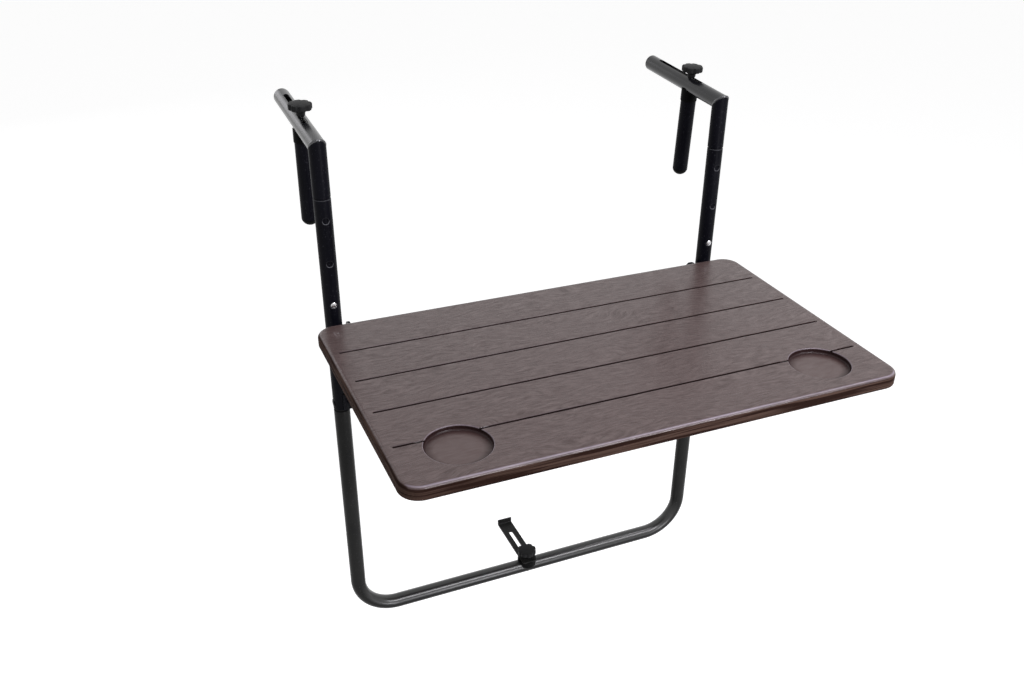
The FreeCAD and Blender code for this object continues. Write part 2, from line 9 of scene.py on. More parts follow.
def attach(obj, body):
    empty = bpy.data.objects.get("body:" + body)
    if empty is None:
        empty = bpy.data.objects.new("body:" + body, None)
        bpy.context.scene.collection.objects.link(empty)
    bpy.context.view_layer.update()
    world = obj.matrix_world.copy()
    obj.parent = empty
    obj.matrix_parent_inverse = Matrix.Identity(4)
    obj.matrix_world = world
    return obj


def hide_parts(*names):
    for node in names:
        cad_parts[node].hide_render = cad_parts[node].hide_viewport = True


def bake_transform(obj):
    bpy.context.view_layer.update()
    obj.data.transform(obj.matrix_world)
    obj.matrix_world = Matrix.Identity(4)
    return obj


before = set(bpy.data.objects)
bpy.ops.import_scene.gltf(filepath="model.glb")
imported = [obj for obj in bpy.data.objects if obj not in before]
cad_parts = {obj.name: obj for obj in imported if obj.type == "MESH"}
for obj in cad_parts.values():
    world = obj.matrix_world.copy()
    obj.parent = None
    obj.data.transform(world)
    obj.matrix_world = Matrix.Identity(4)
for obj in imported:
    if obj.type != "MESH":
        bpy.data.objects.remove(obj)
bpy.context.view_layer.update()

bpy.context.scene.view_settings.view_transform = "Standard"


# ---- The view ---------------------------------------------------------------------------------
# A standing person's view, from above and to the left of the top's front edge.
# The lens and shift frame a picture of 1024 by 684.

VIEW_PLACE = (-0.5271, -1.1971, 0.3826)
VIEW_YAW, VIEW_PITCH, VIEW_ROLL = (math.radians(a) for a in (-24.08, -30.92, 0.99))

ahead = np.array([-math.sin(VIEW_YAW) * math.cos(VIEW_PITCH), math.cos(VIEW_YAW) * math.cos(VIEW_PITCH),
                  math.sin(VIEW_PITCH)])
level = np.array([math.cos(VIEW_YAW), math.sin(VIEW_YAW), 0.0])
over = np.cross(level, ahead)
right = level * math.cos(VIEW_ROLL) + over * math.sin(VIEW_ROLL)
upward = over * math.cos(VIEW_ROLL) - level * math.sin(VIEW_ROLL)

camera = bpy.data.objects.new("camera", bpy.data.cameras.new("camera"))
bpy.context.collection.objects.link(camera)
turned = Matrix(np.stack([right, upward, -ahead], axis=1).tolist()).to_4x4()
camera.matrix_world = Matrix.Translation(VIEW_PLACE) @ turned
camera.data.lens = 35.70
camera.data.sensor_width = 36.0
camera.data.shift_x = -0.01876
camera.data.shift_y = 0.04957
camera.data.clip_start = 0.01
bpy.context.scene.camera = camera


# ---- Lower frame ------------------------------------------------------------------------------
# One 22 mm steel tube bent to a U, dark grey powder coat. Its two ends are swaged to thinner
# necks that stand in the uprights, so a narrow dark seam shows where the tubes meet.

MM = 0.001
TUBE_R, BORE_R = 11.0, 9.5
TUBE_Y = -11.0                   # all the frame's tubes have their axes in this plane
HALF_SPAN = 281.4
SEAM_TOP = -355.7
BAR_AXIS = -726.0
BEND_R, BEND_SQUEEZE = 60.0, 0.035           # the squeeze is the share of its thickness a bend loses
NECK_R, NECK_BORE_R, NECK_LEN = 9.4, 7.9, 32.0
POLISH_FROM, POLISH_OVER = -640.0, 70.0      # the coat turns glossier below this height, over this much
AROUND = 64
CLOUD_RANGE = (0.3, 0.7)         # what a cloud's noise mostly spans
# Pale tone of edges where the coat is gone to bare metal, also laid as a painted highlight on edges that face
# the light.
BARE_EDGE_AND_HIGHLIGHT = (0.09, 0.09, 0.10)


def grid_quads(rows, cols, wrap_rows=False, wrap_cols=False):
    """Faces of a grid of points: each joins a point to the next in its row and to the two below them."""
    i = np.arange(rows if wrap_rows else rows - 1)[:, None]
    j = np.arange(cols if wrap_cols else cols - 1)[None, :]
    below, beside = (i + 1) % rows, (j + 1) % cols
    corners = [i * cols + j, i * cols + beside, below * cols + beside, below * cols + j]
    return np.stack([c + 0 * (i + j) for c in corners], axis=-1).reshape(-1, 4)


def make_piece(name, shells, material, body, nodes, slot, sharp=32.0):
    """One mesh from grids of points in millimetres: doubles merged, faces outward, steep edges left sharp."""
    points, faces, start = [], [], 0
    for grid, wrap_rows, wrap_cols in shells:
        points.append(grid.reshape(-1, 3))
        faces.append(grid_quads(*grid.shape[:2], wrap_rows, wrap_cols) + start)
        start += points[-1].shape[0]
    faces = np.concatenate(faces).tolist()
    return mesh_piece(name, np.concatenate(points), faces, material, body, nodes, slot, sharp)


def mesh_piece(name, points, faces, material, body, nodes, slot, sharp=32.0):
    """The same from a list of points and one of faces."""
    mesh = bpy.data.meshes.new(name)
    mesh.from_pydata((points * MM).tolist(), [], faces)
    shape = bmesh.new()
    shape.from_mesh(mesh)
    bmesh.ops.remove_doubles(shape, verts=shape.verts, dist=2e-6)
    bmesh.ops.recalc_face_normals(shape, faces=shape.faces)
    shape.to_mesh(mesh)
    shape.free()
    mesh.shade_smooth()
    mesh.set_sharp_from_angle(angle=math.radians(sharp))
    mesh.materials.append(material)
    piece = bpy.data.objects.new(name, mesh)
    bpy.context.collection.objects.link(piece)
    if body:
        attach(piece, body)
    if nodes:
        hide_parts(*nodes)
    return piece


def carried(path, radius, across, squeeze=0.0):
    """A circle carried along a flat path: each point is the path's, plus the radius times the cosine along
    the direction across the path's plane and the sine along the path's own normal, less a squeeze there."""
    path = np.asarray(path, float)
    along = np.gradient(path, axis=0)
    along /= np.linalg.norm(along, axis=1, keepdims=True)
    normal = np.cross(along, across)
    turn = np.linspace(0, 2 * math.pi, AROUND, endpoint=False)
    r = np.broadcast_to(radius, len(path))[:, None, None]
    flat = 1.0 - np.broadcast_to(squeeze, len(path))[:, None, None]
    return (path[:, None, :] + r * np.cos(turn)[None, :, None] * np.asarray(across, float)
            + r * flat * np.sin(turn)[None, :, None] * normal[:, None, :])


def feed(tree, node, sockets):
    """Sets a shader node's sockets, or links those whose value is another socket."""
    for key, value in sockets.items():
        if isinstance(value, bpy.types.NodeSocket):
            tree.links.new(value, node.inputs[key])
        else:
            node.inputs[key].default_value = value


def add_node(tree, kind, sockets=None, **settings):
    """Adds a shader node with its settings and feeds its sockets."""
    made = tree.nodes.new(kind)
    for key, value in settings.items():
        setattr(made, key, value)
    feed(tree, made, sockets or {})
    return made


def ranged(tree, value, low, high, first=0.0, last=1.0):
    """A value's range spread over another."""
    return add_node(tree, "ShaderNodeMapRange", {"Value": value, "From Min": low, "From Max": high,
                                                 "To Min": first, "To Max": last}).outputs["Result"]


def blended(tree, share, first, second):
    """Two colours mixed by a share."""
    return add_node(tree, "ShaderNodeMix", {"Factor": share, "A": first, "B": second},
                    data_type="RGBA").outputs["Result"]


def worked(tree, operation, *numbers):
    """One or two numbers put through an operation, such as their product."""
    return add_node(tree, "ShaderNodeMath", dict(enumerate(numbers)), operation=operation).outputs[0]


def noise(tree, place, scale=1.0, detail=2.0, **sockets):
    """A noise read at a place, with so many cells to a unit of it."""
    return add_node(tree, "ShaderNodeTexNoise",
                    {"Vector": place, "Scale": scale, "Detail": detail, **sockets}).outputs["Fac"]


def mask(tree, name):
    """The mesh's own mask of that name."""
    return add_node(tree, "ShaderNodeAttribute", attribute_name=name).outputs["Fac"]


def new_material(name):
    """A material with its node tree."""
    material = bpy.data.materials.new(name)
    material.use_nodes = True
    return material, material.node_tree


def new_group(name, inputs, outputs):
    """An empty shader group with named number inputs, their usual values, and named outputs."""
    tree = bpy.data.node_groups.new(name, "ShaderNodeTree")
    for label, usual in inputs:
        tree.interface.new_socket(label, in_out="INPUT", socket_type="NodeSocketFloat").default_value = usual
    for label in outputs:
        tree.interface.new_socket(label, in_out="OUTPUT", socket_type="NodeSocketFloat")
    return tree, tree.nodes.new("NodeGroupInput"), tree.nodes.new("NodeGroupOutput")


def coat_skin_group():
    """Skin of a sprayed or moulded surface. Relief is a fine noise over a coarser one, cloud a slow change
    of tone, and dust the peaks of a third noise above a threshold."""
    tree, enter, leave = new_group("coat skin", [("Fine per m", 900.0), ("Coarse per m", 220.0),
                                                 ("Cloud per m", 14.0), ("Dust from", 0.7)],
                                   ["Relief", "Cloud", "Dust"])
    given = enter.outputs
    place = add_node(tree, "ShaderNodeTexCoord").outputs["Object"]
    fine = noise(tree, place, given["Fine per m"], 2.0)
    coarse = noise(tree, place, given["Coarse per m"], 1.0)
    relief = add_node(tree, "ShaderNodeMix", {"Factor": 0.4, "A": fine, "B": coarse}).outputs["Result"]
    cloud = noise(tree, place, given["Cloud per m"], 5.0, Roughness=0.6)
    speck = noise(tree, place, scale=520.0, detail=0.0)
    dust = ranged(tree, speck, given["Dust from"], 0.85)
    feed(tree, leave, {"Relief": relief, "Cloud": cloud, "Dust": dust})
    return tree


COAT_SKIN = coat_skin_group()


def coated(name, dark, light, dust, rough, shine, relief, metal=0.0, skin=None):
    """A coated surface: two tones mixed by the cloud, dust specks over them, a paler tone on edges where the
    mesh's mask of wear and painted highlight says so, partly real wear to bare metal and partly a painted
    highlight on edges that face the light, a clear gloss where its "polish" mask says so, roughness that
    follows the cloud, and the skin's relief as a bump of the given depth in millimetres."""
    material, tree = new_material(name)
    effect = add_node(tree, "ShaderNodeGroup", skin, node_tree=COAT_SKIN)
    cloud = effect.outputs["Cloud"]
    tone = blended(tree, ranged(tree, cloud, *CLOUD_RANGE), (*dark, 1), (*light, 1))
    dusted = blended(tree, worked(tree, "MULTIPLY", effect.outputs["Dust"], 0.35), tone, (*dust, 1))
    rubbed_and_lit = blended(tree, mask(tree, "wear_and_painted_highlight"), dusted, (*BARE_EDGE_AND_HIGHLIGHT, 1))
    bump = add_node(tree, "ShaderNodeBump", {"Height": effect.outputs["Relief"], "Strength": 1.0,
                                             "Distance": relief * MM})
    feed(tree, tree.nodes["Principled BSDF"], {
        "Base Color": rubbed_and_lit, "Roughness": ranged(tree, cloud, *CLOUD_RANGE, *rough),
        "Normal": bump.outputs["Normal"], "Coat Weight": mask(tree, "polish"), "Coat Roughness": 0.28,
        "Specular IOR Level": shine, "Metallic": metal})
    return material


GREY_COAT = coated("grey powder coat", (0.011, 0.011, 0.011), (0.019, 0.019, 0.018),
                   dust=(0.07, 0.07, 0.07), rough=(0.26, 0.34), shine=0.08, relief=0.02)


def frame_path():
    """The U's centre line in the plane of the tubes, from the right neck round to the left one, with a
    share from 0 to 1 of how far each point is into a bend."""
    knee, flat = BAR_AXIS + BEND_R, HALF_SPAN - BEND_R
    angle = np.linspace(0, math.pi / 2, 25)
    below_seam = np.array([-NECK_LEN, -0.05, 0.0, 0.25, 0.8, 2.0, 20.0, 110.0, 210.0])
    leg = np.concatenate([SEAM_TOP - below_seam, [knee + 25.0, knee + 8.0]])
    bar = np.linspace(flat - 8, 8, 9)
    x = np.concatenate([np.full(len(leg), HALF_SPAN), flat + BEND_R * np.cos(angle), bar])
    z = np.concatenate([leg, knee - BEND_R * np.sin(angle), np.full(len(bar), BAR_AXIS)])
    bend = np.concatenate([np.zeros(len(leg)), np.sin(2 * angle) ** 0.5, np.zeros(len(bar))])
    x, z = np.concatenate([x, -x[::-1]]), np.concatenate([z, z[::-1]])
    return np.stack([x, np.full(len(x), TUBE_Y), z], axis=1), np.concatenate([bend, bend[::-1]])


def lower_frame():
    """Outer skin and bore of the U as carried circles, joined at the necks' ends."""
    path, bend = frame_path()
    skin = np.full(len(path), TUBE_R)
    bore = np.full(len(path), BORE_R)
    neck = [NECK_R, NECK_R, TUBE_R - 0.75, TUBE_R - 0.3, TUBE_R - 0.07]
    for ends in (slice(0, len(neck)), slice(None, -1 - len(neck), -1)):
        skin[ends] = neck
        bore[ends] = NECK_BORE_R
    across = (0.0, 1.0, 0.0)
    squeeze = BEND_SQUEEZE * bend
    outer, inner = carried(path, skin, across, squeeze), carried(path, bore, across, squeeze)
    rims = [(np.stack([outer[k], inner[k]]), False, True) for k in (0, -1)]
    return [(outer, False, True), (inner, False, True)] + rims


def corners_of(piece):
    """A finished piece's points in millimetres, as arrays of x, y and z."""
    flat = np.empty(3 * len(piece.data.vertices))
    piece.data.vertices.foreach_get("co", flat)
    return flat.reshape(-1, 3).T / MM


def mark(piece, name, values):
    """Stores one number a point on the mesh, for its material to read."""
    piece.data.attributes.new(name, "FLOAT", "POINT").data.foreach_set("value", values.astype(float))


tube = make_piece("lower_frame", lower_frame(), GREY_COAT, "frame", ["lower_frame"], "black_steel")
facing = np.empty(3 * len(tube.data.vertices))
tube.data.vertices.foreach_get("normal", facing)
low_down = np.clip((POLISH_FROM - corners_of(tube)[2]) / POLISH_OVER, 0, 1)
mark(tube, "polish", low_down * np.clip(3 * facing[2::3], 0, 1))


# ---- Uprights ---------------------------------------------------------------------------------
# Two straight 22 mm tubes, satin black, with three drilled height holes in the front wall.
# The drill's broken edge at each hole takes a pale tone, partly bare metal and partly a painted highlight:
# full on the lower rim, which faces up, faint on the upper rim, and at less than half strength round the
# tube's top end.

UPRIGHT_LOW, UPRIGHT_TOP, END_EASE = -353.3, -54.3, 0.4
HOLE_LOW, HOLE_PITCH, HOLE_R, HOLE_EASE = -194.6, 57.0, 4.0, 0.45
HOLES = [HOLE_LOW + k * HOLE_PITCH for k in range(3)]
HOLE_CELLS = 6                   # grid cells from a hole's middle to the edge of its patch
SIDES = ((1, "right"), (-1, "left"))

BLACK_COAT = coated("black powder coat", (0.0018, 0.0018, 0.0034), (0.0042, 0.0042, 0.0070),
                    dust=(0.05, 0.05, 0.06), rough=(0.34, 0.44), shine=0.05, relief=0.03)


def pierced_tube(axis_x):
    """Tube wall on a grid of turn and height. Round each hole the cells give way to rings that pass from the
    patch's square edge to the round rim, over its eased edge and straight through the wall."""
    cell = 2 * math.pi / AROUND
    rise = TUBE_R * cell
    near = np.arange(-HOLE_CELLS, HOLE_CELLS + 1) * rise
    ends = [UPRIGHT_LOW, UPRIGHT_LOW + END_EASE, UPRIGHT_TOP - 1.0, UPRIGHT_TOP - END_EASE, UPRIGHT_TOP]
    below_holes = np.arange(-330, -215, 28.0)
    heights = np.unique(np.round(np.concatenate([ends, below_holes] + [z + near for z in HOLES]), 5))
    turns = np.arange(AROUND) * cell                     # 0 is the front of the tube

    def wall(radius):
        """Points at a radius, the ends drawn in by their broken edge."""
        r = np.full(len(heights), radius)
        if radius > BORE_R:
            r[[0, -1]] -= END_EASE
        return np.stack([axis_x + r[:, None] * np.sin(turns), TUBE_Y - r[:, None] * np.cos(turns),
                         np.broadcast_to(heights[:, None], (len(heights), AROUND))], axis=-1)

    points, faces, start = [], [], 0
    for radius in (TUBE_R, BORE_R):
        grid = wall(radius)
        quads = grid_quads(len(heights), AROUND, False, True)
        row, col = quads[:, 0] // AROUND, quads[:, 0] % AROUND
        away = (col + AROUND // 2) % AROUND - AROUND // 2
        mid = (heights[row] + heights[np.minimum(row + 1, len(heights) - 1)]) / 2
        inside = np.zeros(len(quads), bool)
        for z in HOLES:
            inside |= (np.abs(mid - z) < HOLE_CELLS * rise) & (away >= -HOLE_CELLS) & (away < HOLE_CELLS)
        points.append(grid.reshape(-1, 3))
        faces.append(quads[~inside] + start)
        start += len(points[-1])
    side = np.arange(-HOLE_CELLS, HOLE_CELLS)
    far = np.full(len(side), HOLE_CELLS)
    edge = np.concatenate([np.stack(pair, 1) for pair in
                           ((side, -far), (far, side), (-side, far), (-far, -side))]).astype(float)
    square = edge * [cell, rise]
    heading = np.arctan2(edge[:, 1], edge[:, 0])
    for z in HOLES:
        rings = []
        for radius, rim_r in ((TUBE_R, HOLE_R + HOLE_EASE), (BORE_R, HOLE_R)):
            circle = np.stack([np.arcsin(rim_r * np.cos(heading) / radius), rim_r * np.sin(heading)], 1)
            steps = [square * (1 - s) + circle * s for s in np.linspace(0, 1, 6)]
            rings.append([np.stack([axis_x + radius * np.sin(p[:, 0]), TUBE_Y - radius * np.cos(p[:, 0]),
                                    z + p[:, 1]], 1) for p in steps])
        eased = []
        for phi in (math.pi / 4, math.pi / 2):
            r = HOLE_R + HOLE_EASE * (1 - math.sin(phi))
            x, drop = r * np.cos(heading), HOLE_EASE * (1 - math.cos(phi))
            eased.append(np.stack([axis_x + x, TUBE_Y - np.sqrt(TUBE_R ** 2 - x ** 2) + drop,
                                   z + r * np.sin(heading)], 1))
        chain = np.stack(rings[0] + eased + rings[1][::-1])
        points.append(chain.reshape(-1, 3))
        faces.append(grid_quads(len(chain), len(edge), False, True) + start)
        start += len(points[-1])
    for k in (0, -1):
        rim = np.stack([wall(TUBE_R)[k], wall(BORE_R)[k]])
        points.append(rim.reshape(-1, 3))
        faces.append(grid_quads(2, AROUND, False, True) + start)
        start += len(points[-1])
    return np.concatenate(points), np.concatenate(faces).tolist()


for side, label in SIDES:
    node = "upright_" + label
    tube = mesh_piece(node, *pierced_tube(side * HALF_SPAN), BLACK_COAT, "frame", [node], "black_steel")
    x, y, z = corners_of(tube)
    from_hole = np.min([np.hypot(x - side * HALF_SPAN, z - hole) for hole in HOLES], axis=0)
    # Painted highlight and wear: the pale tone lies fully on each hole's lower rim, which faces up, at a fifth
    # on the rest of the rim, and at 0.4 round the tube's top end.
    rim = (from_hole < HOLE_R + HOLE_EASE + 0.05) & (y < TUBE_Y - BORE_R - 0.3)
    below = np.min([np.abs(z - hole + 3.0) for hole in HOLES], axis=0) < 3.0
    mark(tube, "wear_and_painted_highlight", np.maximum(rim * np.where(below, 1.0, 0.2), 0.4 * (z > UPRIGHT_TOP - 0.45)))


# ---- Fold bolts, spacers, nuts and rivets -----------------------------------------------------
# Steel. Each zinc-plated bolt passes through an upright, a spacer and the bracket's ear to a nut,
# each black rivet through upright, neck, lug and stay. Bolts and rivets have low domed heads.

PIVOT_Z, STAY_Z = -245.5, -345.0
WEB_INNER, STAY_INNER = 260.4, 265.1
BOLT_PAST_WEB = 8.1              # the bolts' ends stand this far inside the brackets' webs
RIVET_HEAD_R = 5.5

ZINC = coated("bright zinc", (0.52, 0.52, 0.53), (0.70, 0.70, 0.71), dust=(0.4, 0.4, 0.4),
              rough=(0.16, 0.28), shine=0.5, relief=0.02, metal=1.0, skin={"Cloud per m": 160.0})


def dress(material, *nodes):
    """Gives solids that keep their own shape a better material."""
    for node in nodes:
        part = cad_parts[node]
        part.data.materials.clear()
        part.data.materials.append(material)


def turned_shell(profile, place, axis, count=48):
    """A profile of (radius, height) turned about an axis: the radius is spread by cosine and sine over the
    two directions square to the axis, the height runs along it."""
    axis = np.asarray(axis, float) / np.linalg.norm(axis)
    first = np.cross(axis, [0.0, 0.0, 1.0] if abs(axis[2]) < 0.9 else [0.0, 1.0, 0.0])
    first /= np.linalg.norm(first)
    second = np.cross(axis, first)
    profile = np.asarray(profile, float)
    turn = np.linspace(0, 2 * math.pi, count, endpoint=False)
    spoke = np.cos(turn)[:, None] * first + np.sin(turn)[:, None] * second
    return (np.asarray(place, float) + profile[:, 0][:, None, None] * spoke[None]
            + profile[:, 1][:, None, None] * axis), False, True


def dome_profile(radius, rise, base=0.0, steps=9):
    """Half section of a spherical cap, from its rim to the pole."""
    ball = (radius ** 2 + rise ** 2) / (2 * rise)
    reach = math.asin(min(radius / ball, 1.0))
    angle = reach * (1 - np.linspace(0, 1, steps))
    return [(ball * math.sin(a), base + ball * math.cos(a) - ball + rise) for a in angle]


def headed_pin(place, axis, shank_r, length, head_r, head_rise, head_flat=0.0):
    """Shank from place along the axis, ending in a head with a straight flank and a domed crown."""
    profile = [(0, 0), (shank_r - 0.3, 0), (shank_r, 0.3), (shank_r, length), (head_r, length)]
    return turned_shell(profile + dome_profile(head_r, head_rise, length + head_flat), place, axis)


bolts = [headed_pin((side * (WEB_INNER - BOLT_PAST_WEB), TUBE_Y, PIVOT_Z), (side, 0, 0),
                    shank_r=4.0, length=40.1, head_r=6.5, head_rise=3.2) for side, _ in SIDES]
make_piece("fold_bolts", bolts, ZINC, "frame", ["fold_bolts"], "plated_steel")

rivets = []
for side, _ in SIDES:
    place = (side * (STAY_INNER - 0.1), TUBE_Y, STAY_Z)
    inner_head = [(0, 0), (RIVET_HEAD_R, 0)] + dome_profile(RIVET_HEAD_R, 1.2)
    rivets.append(headed_pin(place, (side, 0, 0), shank_r=3.5, length=27.4, head_r=RIVET_HEAD_R,
                             head_rise=0.7))
    rivets.append(turned_shell(inner_head, place, (-side, 0, 0)))
make_piece("stay_rivets", rivets, BLACK_COAT, "frame", ["stay_rivets"], "plated_steel")

dress(ZINC, "fold_nuts", "fold_spacers")
dress(BLACK_COAT, "stay_lug_left", "stay_lug_right")


# ---- Tabletop ---------------------------------------------------------------------------------
# A moulded grey-brown board, 625 by 379 by 17 mm, with rounded corners and edges. Four shallow lines divide it
# into planks, a smooth cup recess lies near each front corner, and the rest of the skin is embossed with fine
# wood grain along its length. Its colour also carries painted light: a painted highlight along the front edge,
# round the recess brims and on the plank lines' back lips, and painted shade in the plank lines, on the recess
# walls and on the board's sides and underside.

TOP_X, TOP_BACK, TOP_FRONT = 312.5, -34.4, -413.4
TOP_Z, UNDER_Z = -215.0, -232.0
THICK = TOP_Z - UNDER_Z
CORNER_R, EDGE_R, UNDER_R = 24.0, 5.5, 2.0
INNER_X, INNER_BACK, INNER_FRONT = TOP_X - CORNER_R, TOP_BACK - CORNER_R, TOP_FRONT + CORNER_R
LINES = [TOP_BACK - d for d in (77.8, 151.5, 225.4, 299.5)]
LINE_HALF, LINE_WIDE, LINE_DEEP = 297.8, 1.8, 2.4
CUP_X, CUP_Y = 233.0, TOP_BACK - 319.4
CUP_R, CUP_DEEP, CUP_FOOT, CUP_RIM = 37.4, 6.5, 2.6, 1.2
CUP_PATCH = 43.0                 # half side of the square patch that holds a recess

STROKE_BROWNS = (0.043, 0.026, 0.025, 1), (0.086, 0.055, 0.053, 1)
# Browns of the sides and underside: the streaks are the board's own, their darkness against the top is painted
# shade.
SHADED_SIDE_BROWNS = (0.014, 0.005, 0.003, 1), (0.066, 0.039, 0.030, 1)
RING_BROWN, CLOUD_BROWN = (0.045, 0.025, 0.024, 1), (0.078, 0.050, 0.048, 1)
PORE_BROWN, CUP_BROWN = (0.030, 0.016, 0.014, 1), (0.064, 0.038, 0.036, 1)
# Painted highlight: a pale lavender laid where the lamps' highlight falls on the edges of the top.
PAINTED_EDGE_HIGHLIGHT = (0.240, 0.200, 0.245, 1)
# Painted shade: a near-black brown for the recess walls and a near-black for the plank lines.
PAINTED_WALL_SHADE, PAINTED_LINE_SHADE = (0.014, 0.004, 0.004, 1), (0.004, 0.001, 0.001, 1)


def sunk(x, y):
    """Depth of the plank lines at a place: half an ellipse across each line, the same round both its ends."""
    past = np.maximum(np.abs(x) - LINE_HALF, 0.0)
    depth = np.zeros_like(x)
    for line in LINES:
        s = np.minimum(np.hypot(past, y - line) / LINE_WIDE, 1.0)
        depth = np.maximum(depth, LINE_DEEP * np.sqrt(1 - s * s))
    return depth


def top_lines():
    """Grid lines of the flat top: even over the boards, close together at plank lines and recesses."""
    flat = CORNER_R - EDGE_R
    close = np.array([-2.6, -2.15, -1.8, -1.74, -1.5, -1.1, -0.5, 0, 0.5, 1.1, 1.5, 1.74, 1.8, 2.15, 2.6])
    strip = [np.linspace(0, 7.4, 5), [8.2, 8.7], LINE_HALF - INNER_X + np.linspace(0, 2.1, 8)]
    strip = np.unique(np.concatenate(strip + [[12.4, 14.2, 16.4, flat]]))
    cup_x = np.linspace(-CUP_PATCH, CUP_PATCH, 49)
    x = np.concatenate([INNER_X + strip, -INNER_X - strip, CUP_X + cup_x, -CUP_X + cup_x,
                        np.linspace(-190, 190, 33), [280.5, -280.5, 284.5, -284.5]])
    cup_y = CUP_Y + np.concatenate([np.linspace(-CUP_PATCH, 17.0, 34), np.arange(17.5, 29.6, 0.5),
                                    np.linspace(30.5, CUP_PATCH, 8)])
    y = [INNER_BACK + strip, INNER_FRONT - strip, cup_y, np.linspace(CUP_Y + CUP_PATCH, INNER_BACK, 22)]
    y = np.concatenate(y + [line + close for line in LINES])
    x, y = np.unique(np.round(x, 4)), np.unique(np.round(y, 4))
    return thinned(x, (INNER_X, -INNER_X, CUP_X - CUP_PATCH)), thinned(y, (INNER_BACK, INNER_FRONT))


def thinned(values, keep):
    """Leaves out lines that crowd their neighbour, but never the ones to keep."""
    out = [values[0]]
    for v in values[1:]:
        if v - out[-1] > 0.05 or v == values[-1] or min(abs(v - k) for k in keep) < 1e-3:
            out.append(v)
    return np.array(out)


def tabletop():
    """The whole board as points and faces: flat grid, recess patches, corner fans, edge rings, underside."""
    xs, ys = top_lines()
    gx, gy = np.meshgrid(xs, ys)
    points = [np.stack([gx, gy, TOP_Z - sunk(gx, gy)], -1).reshape(-1, 3)]
    quads = grid_quads(len(ys), len(xs))
    mid_x = (xs[:-1] + xs[1:])[quads[:, 0] % len(xs)] / 2
    mid_y = (ys[:-1] + ys[1:])[quads[:, 0] // len(xs)] / 2
    in_cup = (np.abs(np.abs(mid_x) - CUP_X) < CUP_PATCH) & (np.abs(mid_y - CUP_Y) < CUP_PATCH)
    in_corner = (np.abs(mid_x) > INNER_X) & ((mid_y > INNER_BACK) | (mid_y < INNER_FRONT))
    faces = quads[~(in_cup | in_corner)].tolist()
    start = len(points[0])

    def add(grid, wrap=False):
        """Adds a grid of points, a row per ring."""
        nonlocal start
        points.append(grid.reshape(-1, 3))
        faces.extend((grid_quads(*grid.shape[:2], False, wrap) + start).tolist())
        start += grid.shape[0] * grid.shape[1]

    def run(*columns):
        """A stretch of an outline: numbers and arrays spread to one length, side by side."""
        return np.stack([np.ravel(v) for v in np.broadcast_arrays(*columns)], 1)

    cup = [(CUP_R + CUP_RIM * (1 - math.sin(a)), CUP_RIM * (1 - math.cos(a)))
           for a in np.linspace(0, math.pi / 2, 6)[1:]]
    cup += [(CUP_R, d) for d in np.linspace(CUP_RIM, CUP_DEEP - CUP_FOOT, 4)[1:]]
    cup += [(CUP_R - CUP_FOOT * (1 - math.cos(a)), CUP_DEEP - CUP_FOOT * (1 - math.sin(a)))
            for a in np.linspace(0, math.pi / 2, 7)[1:]]
    cup += [(r, CUP_DEEP) for r in (26.0, 14.0, 4.0, 0.0)]
    for side, _ in SIDES:
        cx = xs[np.abs(xs - side * CUP_X) < CUP_PATCH + 1e-3]
        cy = ys[np.abs(ys - CUP_Y) < CUP_PATCH + 1e-3]
        edge = np.concatenate([run(cx[:-1], cy[0]), run(cx[-1], cy[:-1]),
                               run(cx[:0:-1], cy[-1]), run(cx[0], cy[:0:-1])])
        centre = np.array([side * CUP_X, CUP_Y])
        unit = edge - centre
        unit /= np.linalg.norm(unit, axis=1, keepdims=True)
        brim = centre + unit * (CUP_R + CUP_RIM)
        rings = [(edge * (1 - s) + brim * s, 0.0) for s in np.linspace(0, 1, 20)]
        rings += [(centre + unit * r, d) for r, d in cup]
        add(np.stack([np.column_stack([p, TOP_Z - np.maximum(d, sunk(*p.T))]) for p, d in rings]), True)

    reach = xs[xs >= INNER_X - 1e-6] - INNER_X
    a = np.linspace(0, math.pi / 2, 15)
    for sx, sy, cy in ((1, 1, INNER_BACK), (-1, 1, INNER_BACK), (-1, -1, INNER_FRONT), (1, -1, INNER_FRONT)):
        x = sx * (INNER_X + reach[:, None] * np.cos(a))
        y = cy + sy * reach[:, None] * np.sin(a)
        add(np.stack([x, y, TOP_Z - sunk(x, y)], -1))

    a = a[1:-1]
    long, short = xs[np.abs(xs) <= INNER_X + 1e-6], ys[(ys >= INNER_FRONT - 1e-6) & (ys <= INNER_BACK + 1e-6)]
    loop = np.concatenate([               # places on the inner outline, and the direction outwards there
        run(long, INNER_FRONT, 0.0, -1.0), run(INNER_X, INNER_FRONT, np.sin(a), -np.cos(a)),
        run(INNER_X, short, 1.0, 0.0), run(INNER_X, INNER_BACK, np.cos(a), np.sin(a)),
        run(long[::-1], INNER_BACK, 0.0, 1.0), run(-INNER_X, INNER_BACK, -np.sin(a), np.cos(a)),
        run(-INNER_X, short[::-1], -1.0, 0.0), run(-INNER_X, INNER_FRONT, -np.cos(a), -np.sin(a))])
    section = [(EDGE_R * (1 - math.sin(v)), EDGE_R * (1 - math.cos(v)))
               for v in np.linspace(0, math.pi / 2, 9)]
    section += [(0.0, d) for d in (8.0, 11.0, THICK - UNDER_R)]
    section += [(UNDER_R * (1 - math.cos(v)), THICK - UNDER_R * (1 - math.sin(v)))
                for v in np.linspace(0, math.pi / 2, 5)[1:]]
    section += [(CORNER_R - 6.0, THICK)]
    add(np.stack([np.column_stack([loop[:, :2] + loop[:, 2:] * (CORNER_R - inset),
                                   np.full(len(loop), TOP_Z - depth)]) for inset, depth in section]), True)
    faces.append(list(range(start - len(loop), start)))
    return np.concatenate(points), faces


def stretched(tree, place, scale, shift=(0.0, 0.0, 0.0)):
    """A place scaled along each axis and then moved, which draws out a pattern that is read there."""
    return add_node(tree, "ShaderNodeMapping", {"Vector": place, "Scale": scale, "Location": shift}).outputs[0]


